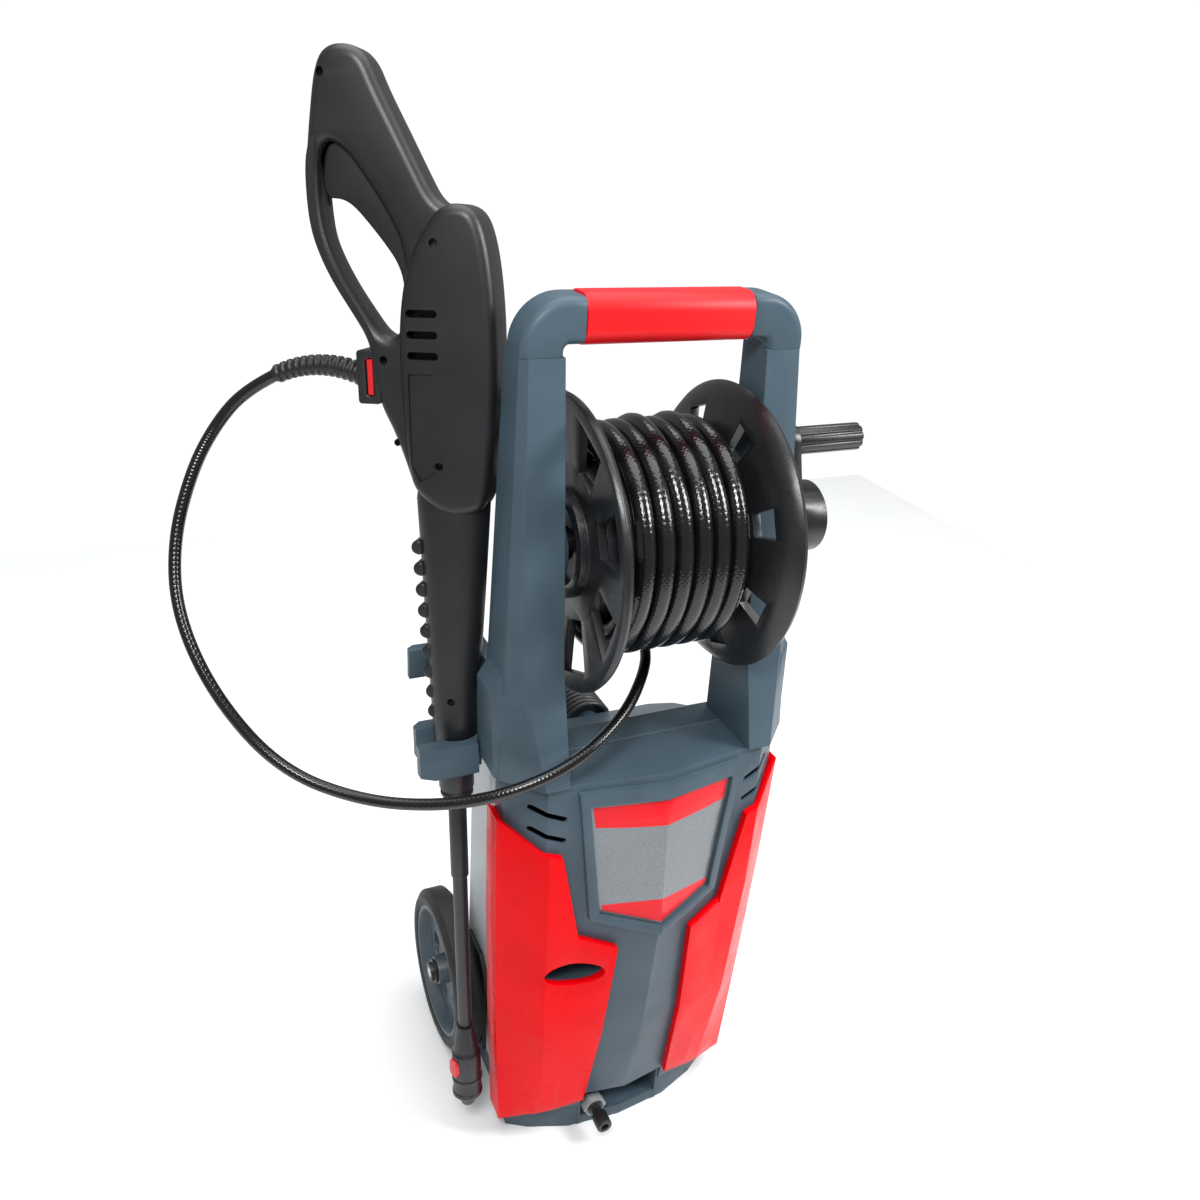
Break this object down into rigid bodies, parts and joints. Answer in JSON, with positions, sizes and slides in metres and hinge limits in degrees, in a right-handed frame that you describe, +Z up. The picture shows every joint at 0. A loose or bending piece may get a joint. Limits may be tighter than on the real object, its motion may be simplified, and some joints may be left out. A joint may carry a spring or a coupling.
{
  "type": "pressure washer",
  "caption": "Upright electric pressure washer on two wheels, with a hose reel in its carrying handle and a spray gun stored at its side.",
  "frame": {"origin": "middle of the base's flat underside, on the ground", "axes": "+Z up, the front faces -Y, +X is the crank side"},
  "size_m": [0.635, 0.3576, 1.0786],
  "materials": {
    "housing_grey": "moulded polypropylene, fine eroded grain",
    "panel_red": "moulded ABS, satin gloss",
    "grip_red": "soft moulded grip",
    "rear_grey": "moulded polypropylene, light grey",
    "label_silver": "printed film, silver",
    "black_plastic": "moulded glass-filled nylon, fine grain",
    "nut_grey": "moulded nylon, grey",
    "hose_rubber": "glossy extruded hose",
    "cord_pvc": "extruded PVC sheath",
    "tyre_black": "moulded rubber",
    "rim_grey": "moulded polypropylene",
    "steel": "zinc plated",
    "cast_aluminium": "die cast",
    "brass": "machined"
  },
  "bodies": {
    "chassis": {"base_tray": "housing_grey", "front_shell": "housing_grey", "rear_shell": "rear_grey", "side_panel_left": "panel_red", "side_panel_right": "panel_red", "label_plate": "label_silver", "inlet_connector": "black_plastic", "inlet_nut": "nut_grey", "inlet_filter": "nut_grey", "pump_block": "cast_aluminium", "pump_head": "cast_aluminium", "motor": "cast_aluminium", "switch_body": "black_plastic", "upright_left": "housing_grey", "upright_right": "housing_grey", "handle_bar": "housing_grey", "handle_grip": "grip_red", "pressure_pipe": "brass", "reel_bush_left": "housing_grey", "reel_bush_right": "black_plastic", "axle": "steel", "axle_brackets": "black_plastic", "wheel_caps": "black_plastic", "gun_holder": "housing_grey", "cord_hook_lower": "housing_grey", "cord_gland": "black_plastic", "power_cord_hank": "cord_pvc", "power_plug": "black_plastic", "case_screws": "steel", "hose_loop": "hose_rubber", "power_cord": "cord_pvc", "hose_joiner": "steel"},
    "rotor": {"motor_shaft": "steel", "motor_fan": "black_plastic"},
    "main_switch": {"switch_knob": "black_plastic"},
    "reel": {"reel_drum": "black_plastic", "reel_flange_left": "black_plastic", "reel_flange_right": "black_plastic", "hose_winding": "hose_rubber", "crank_arm": "black_plastic"},
    "crank_handle": {"crank_grip": "black_plastic"},
    "spray_gun": {"gun_shell_near": "black_plastic", "gun_shell_far": "black_plastic", "gun_screws": "steel", "trigger_pin": "steel", "gun_valve": "brass", "hose_port": "black_plastic", "hose_clip": "grip_red", "hose_relief": "black_plastic", "lance_collar": "black_plastic", "lance_tube": "black_plastic", "nozzle_body": "black_plastic"},
    "gun_trigger": {"trigger": "black_plastic"},
    "nozzle_sleeve": {"nozzle_ring": "black_plastic"},
    "nozzle_release": {"nozzle_button": "grip_red"},
    "wheel_left": {"tyre_left": "tyre_black", "rim_left": "rim_grey"},
    "wheel_right": {"tyre_right": "tyre_black", "rim_right": "rim_grey"},
    "cord_hook": {"cord_hook_upper": "housing_grey"}
  },
  "joints": [
    {"name": "wheel_left_spin", "type": "hinge", "parent": "chassis", "child": "wheel_left", "pos_m": [-0.145, 0.1, 0.096], "axis": [1, 0, 0], "continuous": true},
    {"name": "wheel_right_spin", "type": "hinge", "parent": "chassis", "child": "wheel_right", "pos_m": [0.145, 0.1, 0.096], "axis": [1, 0, 0], "continuous": true},
    {"name": "reel_spin", "type": "hinge", "parent": "chassis", "child": "reel", "pos_m": [0, -0.016, 0.696], "axis": [1, 0, 0], "continuous": true},
    {"name": "crank_handle_spin", "type": "hinge", "parent": "reel", "child": "crank_handle", "pos_m": [0.1575, -0.00938, 0.77171], "axis": [1, 0, 0], "continuous": true},
    {"name": "rotor_spin", "type": "hinge", "parent": "chassis", "child": "rotor", "pos_m": [0.012, 0.018, 0.15], "axis": [0, 0, 1], "continuous": true},
    {"name": "main_switch_turn", "type": "hinge", "parent": "chassis", "child": "main_switch", "pos_m": [-0.081, -0.0693, 0.268], "axis": [0, -1, 0], "range_deg": [0, 90]},
    {"name": "gun_lift", "type": "slide", "parent": "chassis", "child": "spray_gun", "axis": [0, 0.1357, 0.9907], "range_m": [0, 0.12]},
    {"name": "trigger_pull", "type": "hinge", "parent": "spray_gun", "child": "gun_trigger", "pos_m": [-0.18077, 0.06983, 0.90645], "axis": [0.5736, 0.8116, -0.1112], "range_deg": [0, 9], "stiffness_Nm_per_rad": 1.5, "springref_deg": -5.73},
    {"name": "nozzle_sleeve_twist", "type": "hinge", "parent": "spray_gun", "child": "nozzle_sleeve", "pos_m": [-0.1693, -0.05145, 0.08026], "axis": [0, 0.1357, 0.9907], "range_deg": [0, 90]},
    {"name": "nozzle_release_press", "type": "slide", "parent": "spray_gun", "child": "nozzle_release", "axis": [0.9659, 0.2564, -0.0351], "range_m": [0, 0.0018], "stiffness_N_per_m": 400, "springref_m": -0.002},
    {"name": "cord_hook_turn", "type": "hinge", "parent": "chassis", "child": "cord_hook", "pos_m": [0.027, 0.13, 0.397], "axis": [0, 1, 0], "range_deg": [0, 180]}
  ]
}
